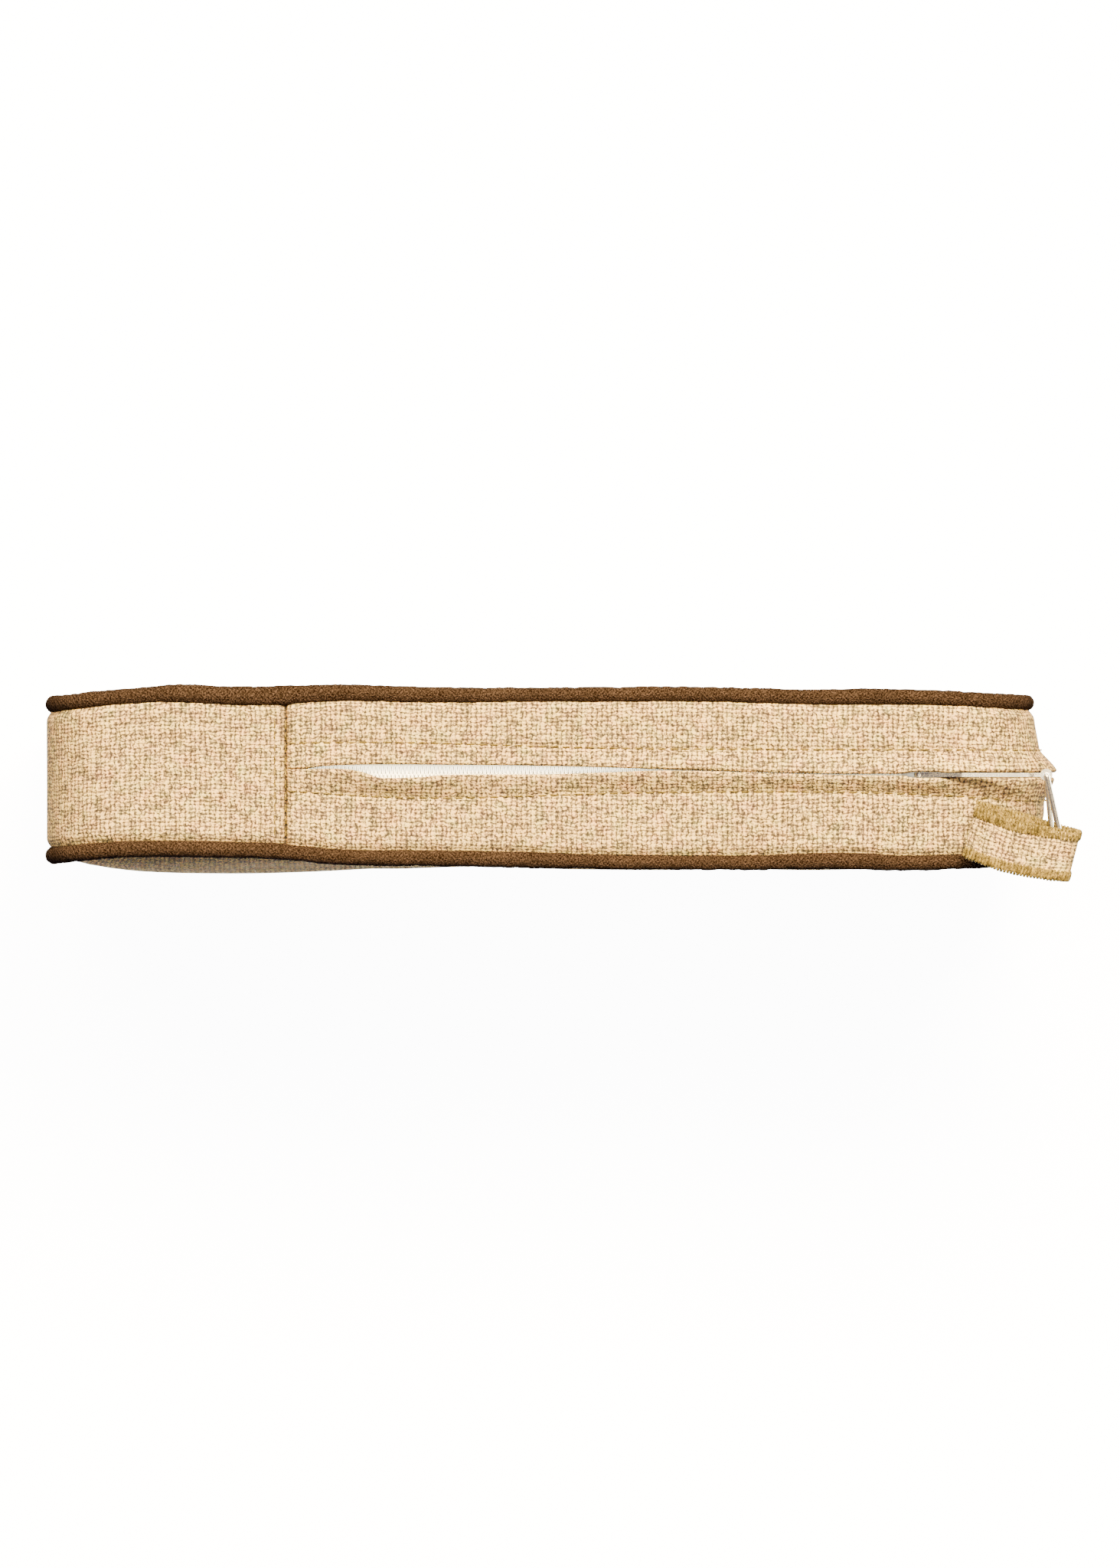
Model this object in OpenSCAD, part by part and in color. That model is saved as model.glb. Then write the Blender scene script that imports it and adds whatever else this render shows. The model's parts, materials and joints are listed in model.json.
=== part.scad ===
// Zipped belt pouch: two fabric panels sewn to a gusset with corded piping,
// a coil zip under two flaps and a fabric pull loop hung on a wire bail.
// X runs along the pouch, +Y is the back panel, +Z is up; millimetres.

/* [Bag] */
// Length over the gusset
bag_length = 280; // [250:5:320]
// Height over the gusset
bag_height = 150; // [130:5:180]
// Width of the gusset between the two piped seams
gusset_width = 41.2; // [38:0.4:50]
// Outer corner radius at the top
top_corner_r = 24; // [20:1:30]
// Outer corner radius at the bottom
bottom_corner_r = 42; // [32:1:50]
// Height of the front panel's crown
front_crown = 5; // [2:0.5:8]

/* [Fabric and seams] */
// Thickness of the outer fabric
fabric_t = 1.6; // [1.2:0.1:2]
// Radius of the finished piping bead
piping_r = 2.2; // [1.9:0.1:2.6]
// Wall of the piping's cover round its cord
piping_wall = 0.7; // [0.5:0.1:0.9]
// Thickness of the piping's flange in the seam
flange_t = 0.6; // [0.5:0.1:0.8]
// Depth of the seam allowance inside the bag
seam_depth = 9; // [8:0.5:11]
// Thickness of the binding tape round the seam allowance
binding_t = 0.7; // [0.5:0.1:0.9]
// Thickness of the lining
lining_t = 0.5; // [0.3:0.1:0.6]

/* [Zip] */
// Place of the seam where the zip starts
zip_start_x = -72; // [-90:2:-50]
// Height of the seam on the right end where the zip stops
zip_end_z = 105; // [90:1:112]
// Width of the slit between the two flaps
slit_w = 4.2; // [4:0.1:4.6]
// Thickness of the folded hem between flap and tape
hem_t = 2.9; // [2.7:0.1:3.4]
// Outer edge of the hem and of the tape, from the slit's middle
tape_reach = 13; // [11:0.5:14]
// Thickness of the zip tape
tape_t = 0.6; // [0.5:0.1:0.8]
// Pitch of the coil's teeth
coil_pitch = 1.1; // [1:0.05:1.4]
// Height of the coil on the tape
coil_h = 1.4; // [1.2:0.1:1.5]
// Half width of the coil chain
coil_reach = 3.2; // [3:0.1:3.6]

/* [Slider] */
// Length of the slider
slider_l = 11; // [9:0.5:14]
// Thickness of the slider's two plates
plate_t = 0.9; // [0.7:0.1:1]
// Wall of the slider's side flanges
slider_wall = 0.8; // [0.6:0.1:1]
// Radius of the slider's pull pin
pin_r = 0.6; // [0.5:0.05:0.7]
// Thickness of the two lugs that carry the pin
lug_t = 0.8; // [0.6:0.1:0.9]

/* [Pull] */
// How far the pull's eye stands out past the end of the bag
eye_reach = 3.2; // [2.5:0.1:6]
// Thickness of the pull's leaf
leaf_t = 1.2; // [1:0.1:1.4]
// Height of the pull's leaf
leaf_h = 2.2; // [1.8:0.1:2.6]
// Radius of the bail's wire
wire_r = 0.8; // [0.6:0.05:0.9]
// Length of the wire bail
bail_l = 23; // [20:1:26]
// Distance between the middles of the bail's two legs
bail_w = 3.6; // [3.4:0.1:4.2]
// Angle of the bail from straight forwards
bail_angle = 9; // [4:1:14]

/* [Pull tab] */
// Width of the folded strip
tab_w = 14.5; // [12:0.5:17]
// Length of the folded loop
tab_l = 30.6; // [27:0.2:36]
// Thickness of the strip
tab_t = 1.3; // [1:0.1:1.5]
// Width of each overlocked edge
edging_w = 1.2; // [0.8:0.1:2]
// Angle of the strip from the bag's length
tab_angle = 14.5; // [10:0.5:20]
// Length of the sewn end
tab_sewn_l = 6; // [5:0.5:8]

/* [Hidden] */
$fn = 48;

// Running clearances
run_gap = 0.3;
pin_gap = 0.06;
snug_gap = 0.02;

// Bag sections, counted from the middle plane outwards
half_l = bag_length / 2;
half_w = gusset_width / 2;
corner_steps = 8;
bead_y = half_w + 0.2 + piping_r;
panel_y = half_w + flange_t;
panel_in = 2 * piping_r + 0.1;
lining_y = half_w - binding_t;
gusset_lining_y = lining_y - lining_t - 0.1;
binding_grip = 1.5;
padding_in = seam_depth + binding_t;
crown_rings = 7;
crown_power = 2.6;
padding_share = 0.9;

// Depths under the gusset's outer face, from the flap down to the lower slider plate
tape_d = fabric_t + hem_t;
under_tape_d = tape_d + tape_t;
coil_top_d = tape_d - coil_h;
slit_y = slit_w / 2;
channel_y = coil_reach + slider_wall + 3 * run_gap + 0.3;
zone_depth = 20;

// Slider, counted from its right end by the top stops
slider_y = coil_reach + run_gap + slider_wall;
upper_plate_d = coil_top_d - plate_t - 0.2;
lower_plate_d = under_tape_d + run_gap;
stop_l = 2.2;
stop_gap = 0.4;
stops_x = half_l - top_corner_r;
slider_x1 = stops_x - stop_l - stop_gap;
slider_x0 = slider_x1 - slider_l;
diamond_l = 2.8;
diamond_x = slider_x1 - run_gap;
coil_x0 = zip_start_x + 6;
coil_x1 = diamond_x - diamond_l - run_gap;
tooth_w = 0.42 * coil_pitch;
tooth_tip = 0.4;
tooth_root = 1.4;

// Pin, leaf, eye and bail
ring_r = 1.5;
pin_x = slider_x0 + slider_l * 0.45;
pin_z = bag_height - upper_plate_d + ring_r + run_gap;
lug_gap = leaf_t / 2 + run_gap;
eye_x = half_l + eye_reach;
eye_r = wire_r + 0.9;
eye_h = bail_w - 2 * wire_r - 2 * run_gap;
bail_reach = bail_w / 2 + wire_r;
bail_twist = 55;

// Tab loop: an open fold round the bail that closes to a sewn end
fold_in_r = bail_reach + run_gap;
fold_r = fold_in_r + tab_t;
tab_drop = fold_r + 0.6;
pull_z = bag_height + tab_drop;
fold_dx = 8.1;
fold_dy = -22.95;
fold_flat = 4.8;
sewn_h = tab_t + 0.02;
tack_w = 9;
tack_l = 1.6;
tack_h = 0.4;

fabric_colour = [0.86, 0.77, 0.62];
piping_colour = [0.36, 0.24, 0.12];
zip_colour = [0.95, 0.95, 0.92];
metal_colour = [0.78, 0.76, 0.72];
lining_colour = [0.72, 0.64, 0.52];
thread_colour = [0.70, 0.55, 0.26];

// Points of an arc about a centre
function arc(x, z, r, a0, a1) =
    [for (i = [0 : corner_steps])
        let (a = a0 + (a1 - a0) * i / corner_steps)
        [x + r * cos(a), z + r * sin(a)]];

// The bag's outline in X and Z, drawn in by a depth
function outline(d) = concat(
    arc(half_l - bottom_corner_r, bottom_corner_r, bottom_corner_r - d, -90, 0),
    arc(half_l - top_corner_r, bag_height - top_corner_r, top_corner_r - d, 0, 90),
    arc(top_corner_r - half_l, bag_height - top_corner_r, top_corner_r - d, 90, 180),
    arc(bottom_corner_r - half_l, bottom_corner_r, bottom_corner_r - d, 180, 270));

// An outline in X and Z made solid from one depth in Y to another
module upright(y0, y1) {
    translate([0, y1, 0])
        rotate([90, 0, 0])
            linear_extrude(y1 - y0)
                children();
}

// A band that follows the outline between two depths
module band(d0, d1) {
    difference() {
        polygon(outline(d0));
        polygon(outline(d1));
    }
}

// The stretch of the gusset that holds the zip: the top, the right corner and part of the end
module zip_zone() {
    polygon([
        [zip_start_x, bag_height - zone_depth],
        [zip_start_x, bag_height + 1],
        [half_l + 1, bag_height + 1],
        [half_l + 1, zip_end_z],
        [half_l - zone_depth, zip_end_z],
        [half_l - zone_depth, bag_height - zone_depth]
    ]);
}

module zip_band(d0, d1) {
    intersection() {
        band(d0, d1);
        zip_zone();
    }
}

module front() {
    mirror([0, 1, 0])
        children();
}

// A crowned sheet over the panel's outline: rings from the middle to a share of the edge
function crown_at(f) = front_crown * (1 - pow(f, crown_power));
function crown_edge() = outline(panel_in);
function crown_points(share, base, rise) =
    let (edge = crown_edge(), mid = [0, bag_height / 2])
    concat(
        [[mid.x, base + rise * crown_at(0), mid.y]],
        [for (j = [1 : crown_rings])
            let (f = share * j / crown_rings)
            for (p = edge)
                [mid.x + f * (p.x - mid.x), base + rise * crown_at(f), mid.y + f * (p.y - mid.y)]]);
function crown_faces(n, first, flip) =
    [for (j = [0 : crown_rings - 1], i = [0 : n - 1])
        let (k = (i + 1) % n,
             a = j == 0 ? 0 : 1 + (j - 1) * n + i,
             b = j == 0 ? 0 : 1 + (j - 1) * n + k,
             c = 1 + j * n + k,
             d = 1 + j * n + i)
        for (t = j == 0 ? [[a, c, d]] : [[a, b, c], [a, c, d]])
            [for (v = flip ? [t[2], t[1], t[0]] : t) first + v]];
function crown_wall(n, count) =
    let (rim = 1 + (crown_rings - 1) * n)
    [for (i = [0 : n - 1])
        let (k = (i + 1) % n)
        for (t = [[rim + i, rim + k, count + rim + k], [rim + i, count + rim + k, count + rim + i]])
            t];

// A closed solid between a crowned outer face and an inner face of the same plan
module crowned(share, outer, outer_rise, inner, inner_rise) {
    n = len(crown_edge());
    count = 1 + crown_rings * n;
    polyhedron(
        points = concat(
            crown_points(share, outer, outer_rise),
            crown_points(share, inner, inner_rise)),
        faces = concat(
            crown_faces(n, 0, true),
            crown_faces(n, count, false),
            [for (t = crown_wall(n, count)) [t[2], t[1], t[0]]]));
}

// A round bead along the piping's path
module bead(r) {
    rt = top_corner_r - piping_r;
    rb = bottom_corner_r - piping_r;
    xt = half_l - top_corner_r;
    xb = half_l - bottom_corner_r;
    zt = bag_height - top_corner_r;
    for (c = [[xb, bottom_corner_r, rb, -90], [xt, zt, rt, 0], [-xt, zt, rt, 90], [-xb, bottom_corner_r, rb, 180]])
        translate([c[0], 0, c[1]])
            rotate([90, 0, 0])
                rotate([0, 0, c[3]])
                    rotate_extrude(angle = 90)
                        translate([c[2], 0])
                            circle(r);
    for (c = [[-xb, piping_r, 2 * xb], [-xt, bag_height - piping_r, 2 * xt]])
        translate([c[0], 0, c[1]])
            rotate([0, 90, 0])
                cylinder(r = r, h = c[2]);
    for (x = [piping_r - half_l, half_l - piping_r])
        translate([x, 0, bottom_corner_r])
            cylinder(r = r, h = zt - bottom_corner_r);
}

module piping_cover() {
    color(piping_colour)
        difference() {
            union() {
                translate([0, bead_y, 0])
                    bead(piping_r);
                upright(half_w, half_w + flange_t)
                    band(0.4, seam_depth);
            }
            translate([0, bead_y, 0])
                bead(piping_r - piping_wall);
        }
}

module piping_cord() {
    color(zip_colour)
        translate([0, bead_y, 0])
            bead(piping_r - piping_wall - 0.05);
}

module zip_flap() {
    color(fabric_colour) {
        upright(slit_y, half_w)
            zip_band(0, fabric_t);
        upright(channel_y, tape_reach)
            zip_band(fabric_t, tape_d);
    }
}

module zip_tape() {
    color(zip_colour)
        upright(slit_y, tape_reach)
            zip_band(tape_d, under_tape_d);
}

module lining_zip() {
    color(lining_colour)
        upright(tape_reach - 2, gusset_lining_y)
            zip_band(under_tape_d, under_tape_d + lining_t);
}

module seam_binding() {
    color(piping_colour) {
        upright(lining_y, half_w)
            band(seam_depth - binding_grip, seam_depth + binding_t);
        upright(half_w, half_w + flange_t)
            band(seam_depth, seam_depth + binding_t);
    }
}

// One row of coil teeth, whose tips pass the middle line between those of the other row
module coil_row(phase) {
    teeth = floor((coil_x1 - coil_x0) / coil_pitch) - 1;
    points = concat(
        [[coil_x1, coil_reach], [coil_x0, coil_reach], [coil_x0, tooth_root]],
        [for (k = [0 : teeth - 1])
            let (x = coil_x0 + (k + 0.5 + phase) * coil_pitch)
            for (p = [[-0.5, tooth_root], [-0.4, -tooth_tip], [0.4, -tooth_tip], [0.5, tooth_root]])
                [x + p.x * tooth_w, p.y]],
        [[coil_x1, tooth_root]]);
    color(zip_colour)
        translate([0, 0, bag_height - tape_d])
            linear_extrude(coil_h)
                polygon(points);
}

module front_panel() {
    color(fabric_colour)
        front()
            crowned(1, panel_y + fabric_t, 1, panel_y, 1);
}

module back_panel() {
    color(fabric_colour)
        upright(panel_y, panel_y + fabric_t)
            polygon(outline(panel_in));
}

module gusset_plain() {
    color(fabric_colour)
        upright(-half_w, half_w)
            difference() {
                band(0, fabric_t);
                zip_zone();
            }
}

module zip_bottom_stop() {
    color(metal_colour)
        translate([coil_x0 - stop_l - stop_gap, -coil_reach, bag_height - tape_d])
            cube([stop_l, 2 * coil_reach, coil_h]);
}

module zip_top_stops() {
    color(metal_colour)
        for (y = [slit_y, -coil_reach])
            translate([stops_x - stop_l, y, bag_height - tape_d])
                cube([stop_l, coil_reach - slit_y, coil_h]);
}

module front_padding() {
    color(lining_colour)
        front()
            crowned(padding_share, panel_y - 0.15, 1, lining_y, 0);
}

module back_padding() {
    color(lining_colour)
        upright(lining_y, panel_y)
            polygon(outline(padding_in + 0.1));
}

module lining_panel() {
    color(lining_colour)
        upright(lining_y - lining_t, lining_y)
            polygon(outline(seam_depth - binding_grip));
}

module lining_gusset() {
    color(lining_colour)
        upright(-gusset_lining_y, gusset_lining_y)
            difference() {
                band(fabric_t, fabric_t + lining_t);
                zip_zone();
            }
}

// Plan of the slider's plates, round at the corners
module slider_plan() {
    r = 1.6;
    polygon(concat(
        arc(slider_x1 - r, slider_y - r, r, 0, 90),
        arc(slider_x0 + r, slider_y - r, r, 90, 180),
        arc(slider_x0 + r, r - slider_y, r, 180, 270),
        arc(slider_x1 - r, r - slider_y, r, 270, 360)));
}

module slider_layer(d0, d1) {
    translate([0, 0, bag_height - d1])
        linear_extrude(d1 - d0)
            children();
}

module slider_body() {
    flange_d = tape_d - run_gap;
    diamond_y = slit_y - 0.4;
    color(metal_colour) {
        slider_layer(upper_plate_d, upper_plate_d + plate_t)
            slider_plan();
        slider_layer(lower_plate_d, lower_plate_d + plate_t)
            slider_plan();
        slider_layer(upper_plate_d + plate_t, flange_d)
            difference() {
                slider_plan();
                square([2 * half_l, 2 * (slider_y - slider_wall)], center = true);
            }
        slider_layer(upper_plate_d + plate_t, lower_plate_d)
            polygon([
                [diamond_x - diamond_l, 0],
                [diamond_x - diamond_l / 2, diamond_y],
                [diamond_x, diamond_y],
                [diamond_x, -diamond_y],
                [diamond_x - diamond_l / 2, -diamond_y]
            ]);
        for (y = [lug_gap, -lug_gap - lug_t])
            upright(y, y + lug_t)
                difference() {
                    union() {
                        translate([pin_x, pin_z])
                            circle(ring_r);
                        translate([pin_x - ring_r, bag_height - upper_plate_d])
                            square([2 * ring_r, pin_z - bag_height + upper_plate_d]);
                    }
                    translate([pin_x, pin_z])
                        circle(pin_r + snug_gap);
                }
    }
}

module slider_pin() {
    color(metal_colour)
        upright(-lug_gap - lug_t, lug_gap + lug_t)
            translate([pin_x, pin_z])
                circle(pin_r);
}

// Leaf that rises from the pin and runs level to the eye that holds the bail
module zip_pull() {
    run = eye_x - pin_x;
    rise = pull_z - pin_z;
    ramp = 12;
    neck_h = eye_h / 2;
    color(metal_colour)
        difference() {
            union() {
                upright(-leaf_t / 2, leaf_t / 2)
                    translate([pin_x, pin_z]) {
                        circle(ring_r);
                        polygon([
                            [0, -leaf_h / 2],
                            [ramp, rise - leaf_h / 2],
                            [run - 5, rise - leaf_h / 2],
                            [run - 3.5, rise - neck_h],
                            [run, rise - neck_h],
                            [run, rise + neck_h],
                            [run - 3.5, rise + neck_h],
                            [run - 5, rise + leaf_h / 2],
                            [ramp, rise + leaf_h / 2],
                            [0, leaf_h / 2]
                        ]);
                    }
                translate([eye_x, 0, pull_z - eye_h / 2])
                    cylinder(r = eye_r, h = eye_h);
            }
            upright(-leaf_t, leaf_t)
                translate([pin_x, pin_z])
                    circle(pin_r + pin_gap);
            translate([eye_x, 0, pull_z - eye_h])
                cylinder(r = wire_r + pin_gap, h = 2 * eye_h);
        }
}

// A straight length of wire between two points
module wire(a, b) {
    d = b - a;
    l = norm(d);
    translate(a)
        rotate([0, acos(d.z / l), atan2(d.y, d.x)])
            cylinder(r = wire_r, h = l);
}

// Wire loop: an upright end bar in the eye, two legs and a twisted far bar
module pull_bail() {
    h = bail_w / 2;
    far = [bail_l, h * sin(bail_twist), h * cos(bail_twist)];
    corners = [[0, 0, -h], [0, 0, h], far, [far.x, -far.y, -far.z]];
    color(metal_colour)
        translate([eye_x, 0, pull_z])
            rotate([0, 0, bail_angle - 90])
                for (i = [0 : 3]) {
                    wire(corners[i], corners[(i + 1) % 4]);
                    translate(corners[i])
                        sphere(wire_r * 1.04);
                }
}

// Section of the folded strip: the fold at the right, the sewn end at the left
module tab_section() {
    open_x = -fold_r - fold_flat;
    sewn_x = tab_sewn_l - tab_l;
    difference() {
        polygon(concat(
            arc(-fold_r, 0, fold_r, -90, 90),
            [[open_x, fold_r], [sewn_x, sewn_h], [-tab_l, sewn_h]],
            [[-tab_l, -sewn_h], [sewn_x, -sewn_h], [open_x, -fold_r]]));
        polygon(concat(
            arc(-fold_r, 0, fold_in_r, -90, 90),
            [[open_x, fold_in_r], [sewn_x + tab_t, 0.02], [sewn_x + tab_t, -0.02], [open_x, -fold_in_r]]));
    }
}

// The strip's own frame: its fold at the origin, its width along Y
module at_tab() {
    translate([eye_x + fold_dx, fold_dy, pull_z])
        rotate([0, 0, -tab_angle])
            children();
}

module tab_strip() {
    w = tab_w / 2 - edging_w;
    color(fabric_colour)
        at_tab()
            upright(-w, w)
                tab_section();
}

module tab_edging(y0, y1) {
    color(thread_colour)
        at_tab()
            upright(y0, y1)
                tab_section();
}

module tab_edging_back() {
    tab_edging(tab_w / 2 - edging_w, tab_w / 2);
}

module tab_edging_front() {
    tab_edging(-tab_w / 2, edging_w - tab_w / 2);
}

module tab_bartack() {
    color(thread_colour)
        at_tab()
            for (z = [sewn_h, -sewn_h - tack_h])
                translate([tab_sewn_l / 2 - tab_l, -tack_w / 2, z])
                    cube([tack_l, tack_w, tack_h]);
}

front_panel();
back_panel();
gusset_plain();
zip_flap();  // zip_flap_back
front() zip_flap();  // zip_flap_front
front() piping_cover();  // piping_cover_front
piping_cover();  // piping_cover_back
front() piping_cord();  // piping_cord_front
piping_cord();  // piping_cord_back
zip_tape();  // zip_tape_back
front() zip_tape();  // zip_tape_front
coil_row(0);  // zip_coil_back
front() coil_row(0.5);  // zip_coil_front
zip_bottom_stop();
zip_top_stops();
front_padding();
back_padding();
front() lining_panel();  // lining_front
lining_panel();  // lining_back
lining_gusset();
lining_zip();  // lining_zip_back
front() lining_zip();  // lining_zip_front
front() seam_binding();  // seam_binding_front
seam_binding();  // seam_binding_back
slider_body();
slider_pin();
zip_pull();
pull_bail();
tab_strip();
tab_edging_back();
tab_edging_front();
tab_bartack();
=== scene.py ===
"""Dresses a zipped belt pouch: woven cloth, corded piping, coil zip, nickel pull and fabric tab."""

import json
import math

import bpy
from mathutils import Matrix, Vector, noise


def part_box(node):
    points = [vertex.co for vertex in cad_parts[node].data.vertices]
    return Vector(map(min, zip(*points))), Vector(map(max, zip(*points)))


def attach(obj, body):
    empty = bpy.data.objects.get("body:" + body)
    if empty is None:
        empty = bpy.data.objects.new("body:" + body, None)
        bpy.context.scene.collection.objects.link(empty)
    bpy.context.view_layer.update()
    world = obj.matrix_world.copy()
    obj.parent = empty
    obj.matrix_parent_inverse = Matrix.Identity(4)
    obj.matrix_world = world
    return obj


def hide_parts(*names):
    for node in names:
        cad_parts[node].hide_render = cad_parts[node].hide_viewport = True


bl_info = {
    "name": "Belt pouch dresser",
    "version": (1, 0, 0),
    "blender": (4, 5, 0),
    "location": "View3D > Sidebar > Pouch",
    "description": "Builds the soft goods, zip and pull of a piped belt pouch round its frame",
    "category": "Object",
}

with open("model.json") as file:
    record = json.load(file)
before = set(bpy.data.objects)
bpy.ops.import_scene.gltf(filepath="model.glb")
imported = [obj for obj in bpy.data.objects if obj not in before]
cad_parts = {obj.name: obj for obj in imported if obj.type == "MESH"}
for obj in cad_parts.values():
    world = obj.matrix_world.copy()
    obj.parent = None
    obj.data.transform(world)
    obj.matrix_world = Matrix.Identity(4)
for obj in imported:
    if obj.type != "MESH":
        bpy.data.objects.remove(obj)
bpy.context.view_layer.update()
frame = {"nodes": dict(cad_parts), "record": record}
MM = 0.001
GUSSET_LOW, GUSSET_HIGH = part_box("gusset_plain")
FLAP_LOW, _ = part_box("zip_flap_back")
COIL_LOW, COIL_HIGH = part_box("zip_coil_back")
TAPE_LOW, TAPE_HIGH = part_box("zip_tape_back")
JOINTS = {joint["name"]: joint for joint in frame["record"]["behaviour"]["joints"]}

# How far the cloth dips at a piped seam, at a cross seam and at a row of topstitching, and over what width
SEAM_DIP, SEAM_REACH = 1.5 * MM, 1.5 * MM
CROSS_DIP, CROSS_REACH = 1.9 * MM, 0.8 * MM
STITCH_DIP, STITCH_REACH = 0.45 * MM, 0.8 * MM
# How far the outer cloth runs in under the piping
TUCK = 0.7 * MM
# Where a panel's cloth ends inside the outline, as a share of the piping's radius
RIM_SHARE = 1.4
# Height of the cloth's slow unevenness on the gusset, and on the flaps
GUSSET_RIPPLE, FLAP_RIPPLE = 0.30 * MM, 0.25 * MM
# Points across a zip flap: over its top, round its lip and along the hem below
TOP_ROWS, ROLL_ROWS, HEM_ROWS = 33, 8, 4

# Where the piped seams wander from straight: place along the bag and offset outwards, in mm
BACK_SEAM = [
    (-140, -3.0), (-120, -1.1), (-104, -0.1), (-82, -0.85), (-57, 0.1), (-32, -0.45), (-5, -0.4),
    (18, -0.3), (44, -0.25), (62, -0.65), (80, -1.1), (96, -0.95), (110, -1.2), (124, -1.8), (140, -2.6)]
FRONT_SEAM = [
    (-140, -0.2), (-120, -1.9), (-100, -2.1), (-86, -1.8), (-77, -1.6), (-60, -0.05), (-51, 0.4),
    (-34, 0.5), (-8, 0.9), (10, 1.45), (40, 1.85), (62, 1.8), (84, 1.3), (104, 1.9), (122, 1.4), (140, 0.0)]
# How thick the piping is along the bag: place in mm and share of its usual radius
BACK_PIPING = [
    (-140, 1.15), (-128, 1.06), (-112, 1.08), (-103, 1.2), (-77, 1.3), (-60, 1.15), (-42, 1.08),
    (-16, 1.0), (1, 0.94), (27, 1.0), (79, 1.02), (96, 1.1), (114, 1.0), (140, 1.0)]
FRONT_PIPING = [
    (-140, 1.15), (-128, 1.1), (-90, 1.08), (-60, 1.03), (-34, 1.05), (1, 1.05), (12, 0.96), (44, 0.96),
    (70, 1.0), (88, 1.12), (105, 1.0), (140, 1.0)]
# The flaps' edges beside the slit: length from the top's middle, place across and lift of the lip, in mm
BACK_EDGE = [
    (-72, 1.7, 0.3), (-67, 1.75, 0.5), (-61, 2.5, 0.5), (-52, 2.85, 0.5), (-40, 2.95, 0.6),
    (-30, 2.85, 0.6), (-23, 2.8, 0.6), (-10, 2.7, 0.6), (12, 2.3, 0.6), (37, 1.5, 0.8), (80, 0.35, 1.2),
    (98, 0.3, 2.0), (103, 0.35, 3.0), (105.6, 0.85, 3.5), (111, 0.85, 3.5), (120, 0.8, 2.4),
    (134, 0.8, 2.0), (150, 0.7, 4.0), (158, 0.6, 4.2), (166, 0.5, 2.2), (175, 0.4, 0.3)]
FRONT_EDGE = [
    (-72, 1.6, 0.3), (-67, 1.6, 0.9), (-60, 1.75, 2.0), (-54, 1.5, 2.9), (-50, 0.75, 3.3),
    (-45.8, -0.72, 3.4), (-42.5, -0.88, 3.4), (-39.5, -0.86, 3.4), (-33, -0.6, 3.0), (-29, -0.15, 2.7),
    (-25, 0.0, 2.4), (-17, 0.08, 1.8), (-8, 0.1, 1.7), (5, 0.2, 1.9), (18, 0.65, 2.4), (37, 1.2, 2.6),
    (80, 0.05, 2.6), (98, -0.2, 2.8), (103, -0.25, 3.2), (105.6, -0.85, 3.5), (111, -0.85, 3.5),
    (120, -0.8, 2.6), (134, -0.8, 2.0), (150, -0.7, 2.6), (158, -0.6, 2.8), (166, -0.5, 1.4),
    (175, -0.4, 0.3)]
# The rows of topstitching on the flaps: length from the top's middle and place across, in mm
BACK_STITCH = [(-72, 9.0), (-40, 9.2), (20, 7.6), (80, 7.2), (175, 7.0)]
FRONT_STITCH = [
    (-72, -4.6), (-33, -6.5), (30, -5.0), (80, -4.8), (110, -5.6), (140, -7.3), (175, -7.0)]
# How far each layer of the tab lies off the other's line: share of its length from the fold, and mm
TAB_DRIFT = [(0.0, 0.0), (0.17, 0.45), (0.3, 0.75), (0.6, 1.3), (0.8, 1.1), (1.0, 0.75)]
# Share of the tab's half length that goes round its fold
FOLD_SHARE = 0.17

# Metal whose shape is the frame's own
METAL = ("zip_bottom_stop", "zip_top_stops", "slider_body", "slider_pin", "zip_pull")

# The photograph: metres per pixel, its height, and the middles of the picture and of the bag in pixels
PIXEL = 0.2166 * MM
PICTURE_HIGH = 2048
PICTURE_MIDDLE = (731.5, 1024)
BAG_MIDDLE = (705.5, 1012)
SENSOR = 36
CAMERA_AWAY = 10.0
FLOOR_SIZE = 24

# Light: warm lamps against a cool room; floor, zip and metal have white lamps of their own
LAMP_COLOUR = (1.0, 0.76, 0.46)
LAMP_SIZE = 1.1
ROOM_COLOUR = (0.89, 0.84, 1.2, 1.0)
ROOM_STRENGTH = 0.26
LIGHTS = (
    ("key_left", "AREA", (-0.8, 1.5, 2.4), 142.0, None),
    ("key_right", "AREA", (0.6, 1.4, 2.4), 385.0, None),
    ("back", "AREA", (0.0, 2.0, 1.6), 65.0, None),
    ("floor_wash", "SUN", (0.0, 0.0, 3.0), 42.0, "washed_floor"),
    ("slit_fill", "AREA", (0.0, 0.0, 3.0), 470.0, "lit_zip"),
    ("metal_fill", "AREA", (0.0, 0.0, 3.0), 8.0, "lit_metal"),
)


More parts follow.
